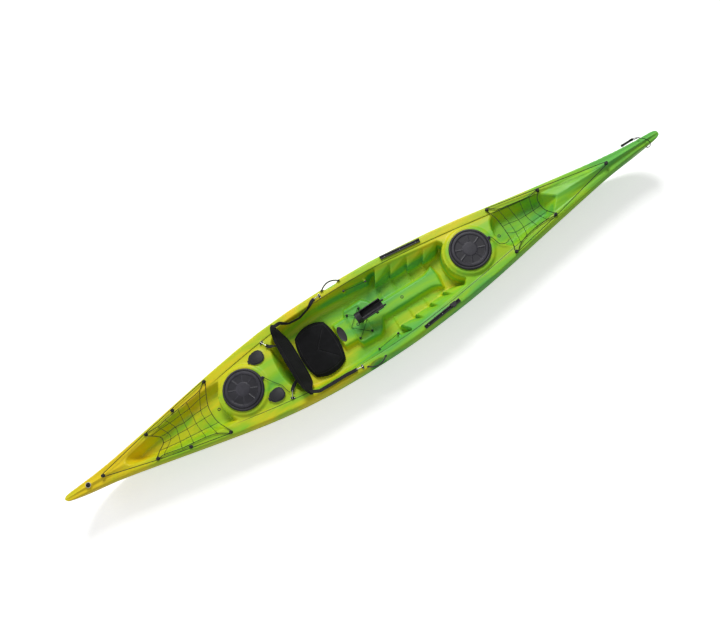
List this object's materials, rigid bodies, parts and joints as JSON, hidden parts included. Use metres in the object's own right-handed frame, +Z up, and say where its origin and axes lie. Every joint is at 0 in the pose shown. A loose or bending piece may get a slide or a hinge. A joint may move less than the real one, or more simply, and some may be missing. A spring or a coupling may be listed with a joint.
{
  "type": "sea kayak",
  "caption": "Sit-on-top sea kayak with sealed hatches, netted cargo wells, a strapped folding seat, moulded foot braces, gear tracks and rod holders.",
  "frame": {"origin": "middle of the kayak's length and beam at the keel's lowest height", "axes": "+X to the bow, +Y to port, +Z up"},
  "size_m": [4.8, 0.705, 0.3676],
  "materials": {
    "hull_plastic": "satin, marbled yellow to green",
    "black_plastic": "fine grain",
    "hatch_rubber": "satin",
    "black_rubber": "matte",
    "bungee_cord": "braided",
    "webbing": "woven",
    "seat_cover": "woven, padded",
    "steel_wire": "bright"
  },
  "bodies": {
    "kayak": {"hull": "hull_plastic", "front_hatch_frame": "black_plastic", "front_lid_tether": "bungee_cord", "rear_hatch_frame": "black_plastic", "rear_lid_tether": "bungee_cord", "deck_button_bow": "black_plastic", "deck_button_front_outer_port": "black_plastic", "deck_button_front_outer_starboard": "black_plastic", "deck_button_front_inner_port": "black_plastic", "deck_button_front_inner_starboard": "black_plastic", "deck_button_rear_inner_port": "black_plastic", "deck_button_rear_inner_starboard": "black_plastic", "deck_button_rear_middle_port": "black_plastic", "deck_button_rear_middle_starboard": "black_plastic", "deck_button_rear_outer_port": "black_plastic", "deck_button_rear_outer_starboard": "black_plastic", "deck_button_stern": "black_plastic", "bow_bungee": "bungee_cord", "stern_bungee": "bungee_cord", "bow_net": "bungee_cord", "stern_net": "bungee_cord", "tray_bungee": "bungee_cord", "bow_loop": "bungee_cord", "rod_tube_port": "black_plastic", "gear_track_port": "black_plastic", "paddle_keeper_port": "bungee_cord", "pad_eye_front_port": "black_plastic", "snap_hook_front_port": "steel_wire", "strap_front_port": "webbing", "pad_eye_rear_port": "black_plastic", "snap_hook_rear_port": "steel_wire", "strap_rear_port": "webbing", "rod_tube_starboard": "black_plastic", "gear_track_starboard": "black_plastic", "paddle_keeper_starboard": "bungee_cord", "pad_eye_front_starboard": "black_plastic", "snap_hook_front_starboard": "steel_wire", "strap_front_starboard": "webbing", "pad_eye_rear_starboard": "black_plastic", "snap_hook_rear_starboard": "steel_wire", "strap_rear_starboard": "webbing", "seat_pad": "seat_cover", "rod_holder_base": "black_plastic", "tray_hook_fore_port": "black_plastic", "tray_hook_fore_starboard": "black_plastic", "tray_hook_aft_port": "black_plastic", "tray_hook_aft_starboard": "black_plastic", "bow_toggle": "black_rubber"},
    "front_lid": {"front_hatch_lid": "hatch_rubber"},
    "rear_lid": {"rear_hatch_lid": "hatch_rubber"},
    "port_rod_cap": {"rod_cap_port": "hatch_rubber"},
    "starboard_rod_cap": {"rod_cap_starboard": "hatch_rubber"},
    "stern_plug": {"drain_plug": "black_plastic"},
    "seat_back": {"backrest": "seat_cover"},
    "port_handle": {"side_handle_port": "black_rubber"},
    "starboard_handle": {"side_handle_starboard": "black_rubber"},
    "gear_mount": {"track_mount": "black_plastic"},
    "gear_knob": {"track_knob": "black_plastic"},
    "holder_swivel": {"rod_holder_swivel": "black_plastic"},
    "holder_cradle": {"rod_holder_cradle": "black_plastic"}
  },
  "joints": [
    {"name": "front_lid_lift", "type": "slide", "parent": "kayak", "child": "front_lid", "axis": [0, 0, 1], "range_m": [0, 0.12], "deforming": ["front_lid_tether"]},
    {"name": "rear_lid_lift", "type": "slide", "parent": "kayak", "child": "rear_lid", "axis": [0, 0, 1], "range_m": [0, 0.12], "deforming": ["rear_lid_tether"]},
    {"name": "port_cap_pull", "type": "slide", "parent": "kayak", "child": "port_rod_cap", "axis": [-0.4695, 0, 0.8829], "range_m": [0, 0.06]},
    {"name": "starboard_cap_pull", "type": "slide", "parent": "kayak", "child": "starboard_rod_cap", "axis": [-0.4695, 0, 0.8829], "range_m": [0, 0.06]},
    {"name": "stern_plug_pull", "type": "slide", "parent": "kayak", "child": "stern_plug", "axis": [0, 0, 1], "range_m": [0, 0.05]},
    {"name": "seat_back_fold", "type": "hinge", "parent": "kayak", "child": "seat_back", "pos_m": [-0.549, 0, 0.168], "axis": [0, 1, 0], "range_deg": [0, 36], "deforming": ["strap_front_port", "strap_front_starboard", "strap_rear_port", "strap_rear_starboard"]},
    {"name": "port_handle_swing", "type": "hinge", "parent": "kayak", "child": "port_handle", "pos_m": [-0.098, 0.319, 0.28355], "axis": [1, 0, 0], "range_deg": [0, 95]},
    {"name": "starboard_handle_swing", "type": "hinge", "parent": "kayak", "child": "starboard_handle", "pos_m": [-0.098, -0.319, 0.28355], "axis": [1, 0, 0], "range_deg": [-95, 0]},
    {"name": "gear_mount_slide", "type": "slide", "parent": "kayak", "child": "gear_mount", "axis": [0.9921, 0.1253, 0], "range_m": [-0.22, 0.03]},
    {"name": "gear_knob_turn", "type": "hinge", "parent": "gear_mount", "child": "gear_knob", "pos_m": [0.5512, -0.2738, 0.309], "axis": [0, 0, 1], "continuous": true},
    {"name": "holder_turn", "type": "hinge", "parent": "kayak", "child": "holder_swivel", "pos_m": [-0.035, 0.012, 0.19], "axis": [0, 0, 1], "continuous": true},
    {"name": "holder_tilt", "type": "hinge", "parent": "holder_swivel", "child": "holder_cradle", "pos_m": [-0.035, 0.012, 0.2236], "axis": [0, 1, 0], "range_deg": [-75, 5]}
  ]
}
